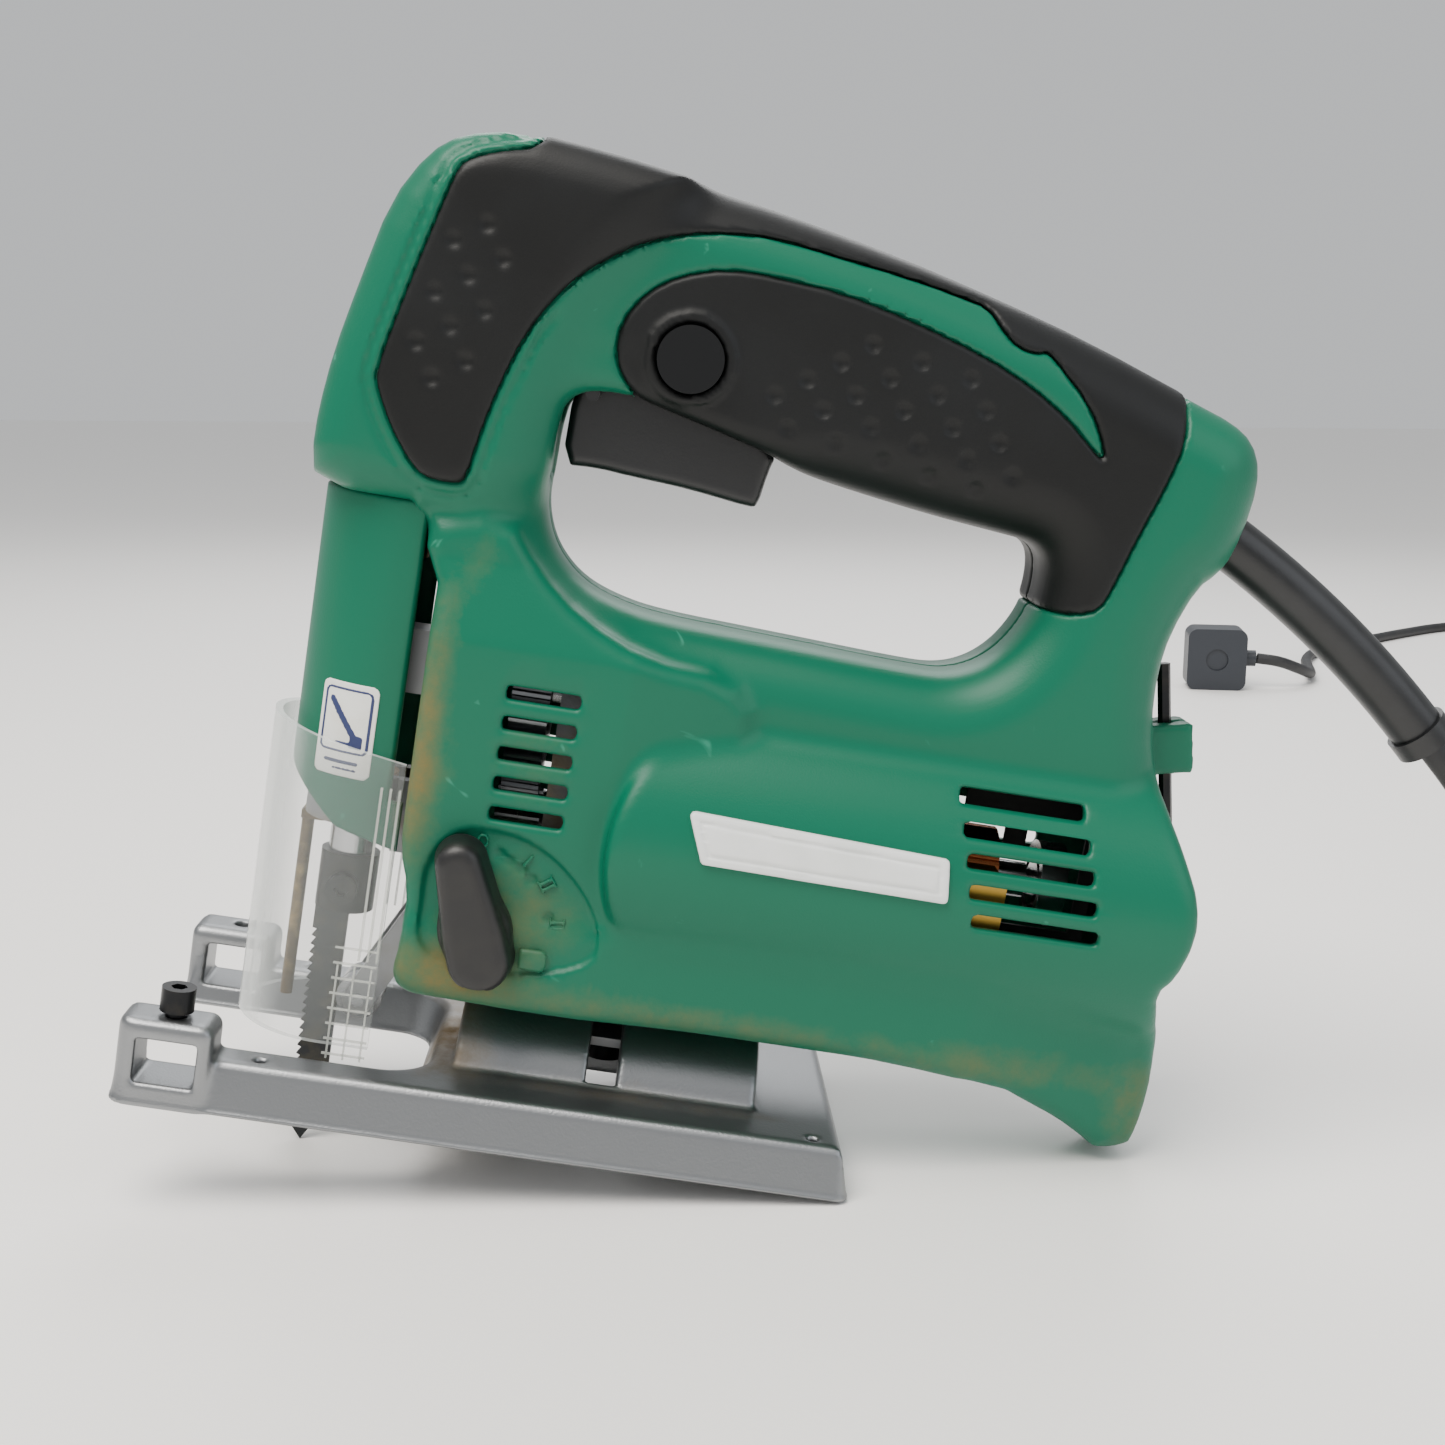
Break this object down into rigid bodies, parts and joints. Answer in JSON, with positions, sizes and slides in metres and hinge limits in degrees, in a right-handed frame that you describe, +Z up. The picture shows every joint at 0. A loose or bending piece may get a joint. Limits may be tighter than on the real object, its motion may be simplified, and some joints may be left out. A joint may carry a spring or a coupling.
{
  "type": "corded jigsaw",
  "caption": "Corded orbital jigsaw with a closed D-shaped handle, bevelling base plate, clear dust cover, crank-driven plunger and a coiled mains cord, resting nose up on its blade tip.",
  "frame": {"origin": "mid-point of the sole's rear edge, where it stands on the floor (z = 0)", "axes": "+X to the tool's rear end, +Y to its far side (left when seen from the rear), +Z up; the tool leans nose up by 9.04 degrees about the origin's Y axis, standing on the blade's tip and the sole's rear edge"},
  "size_m": [0.7307, 0.9049, 0.2189],
  "materials": {
    "die_cast": "satin",
    "steel": "satin",
    "dark_steel": "satin",
    "spring_steel": "polished",
    "blade_steel": "satin",
    "green_plastic": "satin",
    "soft_grip": "matt",
    "clear_cover": "clear",
    "black_plastic": "satin",
    "gloss_black": "gloss",
    "grey_plastic": "matt",
    "bronze": "sintered",
    "copper": "lacquered",
    "brass": "satin",
    "iron_laminations": "matt",
    "carbon": "matt",
    "cord_rubber": "matt",
    "plug_plastic": "satin"
  },
  "bodies": {
    "casing": {"base_clamp_bolt": "dark_steel", "base_clamp_plate": "steel", "gear_housing": "die_cast", "housing_left": "green_plastic", "housing_right": "green_plastic", "housing_screws": "steel", "nose_cover": "green_plastic", "grip_left": "soft_grip", "grip_right": "soft_grip", "finger_guard": "steel", "trigger_pin": "steel", "switch_body": "grey_plastic", "roller_arm_pin": "steel", "upper_bush": "bronze", "lower_bush": "bronze", "spindle_bush": "bronze", "bearing_outer_rings": "spring_steel", "bearing_balls": "spring_steel", "stator_core": "iron_laminations", "stator_coils": "copper", "brush_holders": "brass", "carbon_brushes": "carbon", "brush_springs": "spring_steel", "cord_guard": "cord_rubber", "cord_clamp": "grey_plastic", "clamp_screws": "steel", "cord_lead_in": "cord_rubber", "cord_coil": "cord_rubber", "coil_tie": "cord_rubber", "cord_lead_out": "cord_rubber", "plug_body": "plug_plastic", "plug_pins": "brass"},
    "base": {"base_plate": "die_cast", "fence_screw": "dark_steel"},
    "cover": {"dust_cover": "clear_cover"},
    "trigger": {"trigger": "black_plastic"},
    "lock_button": {"lock_button": "gloss_black"},
    "selector": {"orbital_lever": "black_plastic", "orbital_cam_shaft": "steel"},
    "armature": {"armature_shaft": "spring_steel", "armature_core": "iron_laminations", "armature_windings": "copper", "commutator": "copper", "cooling_fan": "grey_plastic", "bearing_inner_rings": "spring_steel"},
    "crank": {"crank_gear": "steel", "crank_pin": "steel", "gear_spindle": "steel"},
    "plunger": {"plunger_rod": "spring_steel", "yoke": "steel", "blade_holder": "dark_steel", "blade_screw": "dark_steel", "jigsaw_blade": "blade_steel"},
    "roller_arm": {"roller_arm": "steel", "roller_pin": "steel"},
    "roller": {"guide_roller": "steel"},
    "hex_key": {"hex_key": "dark_steel"}
  },
  "joints": [
    {"name": "trigger_pull", "type": "hinge", "parent": "casing", "child": "trigger", "pos_m": [-0.05335, 0, 0.16746], "axis": [0, -1, 0], "range_deg": [0, 8], "stiffness_Nm_per_rad": 1.5, "springref_deg": -5.73},
    {"name": "lock_button_press", "type": "slide", "parent": "casing", "child": "lock_button", "axis": [0, 1, 0], "range_m": [0, 0.003], "stiffness_N_per_m": 800, "springref_m": -0.002},
    {"name": "orbital_selector", "type": "hinge", "parent": "casing", "child": "selector", "pos_m": [-0.07877, 0, 0.05861], "axis": [0, 1, 0], "range_deg": [0, 88]},
    {"name": "motor_spin", "type": "hinge", "parent": "casing", "child": "armature", "pos_m": [0.01037, 0, 0.06518], "axis": [0.9876, 0, -0.1572], "continuous": true},
    {"name": "crank_spin", "type": "hinge", "parent": "casing", "child": "crank", "pos_m": [-0.06658, 0, 0.1034], "axis": [0.9876, 0, -0.1572], "continuous": true},
    {"name": "plunger_stroke", "type": "slide", "parent": "casing", "child": "plunger", "axis": [0.1572, 0, 0.9876], "range_m": [-0.012, 0.006]},
    {"name": "roller_arm_swing", "type": "hinge", "parent": "casing", "child": "roller_arm", "pos_m": [-0.08758, 0, 0.06051], "axis": [0, -1, 0], "range_deg": [0, 3]},
    {"name": "guide_roller_spin", "type": "hinge", "parent": "roller_arm", "child": "roller", "pos_m": [-0.1063, 0, 0.03514], "axis": [0, 1, 0], "continuous": true},
    {"name": "base_bevel", "type": "hinge", "parent": "casing", "child": "base", "pos_m": [-0.05384, 0, 0.01161], "axis": [0.9876, 0, -0.1572], "range_deg": [0, 45]},
    {"name": "dust_cover_lift", "type": "slide", "parent": "casing", "child": "cover", "axis": [0.1572, 0, 0.9876], "range_m": [0, 0.0245]},
    {"name": "hex_key_slide", "type": "slide", "parent": "casing", "child": "hex_key", "axis": [0.0621, 0, -0.9981], "range_m": [0, 0.028]}
  ],
  "couplings": [
    {"joint": "crank_spin", "follows": "motor_spin", "ratio": -0.14},
    {"joint": "dust_cover_lift", "follows": "base_bevel", "m_per_rad": 0.03055}
  ]
}
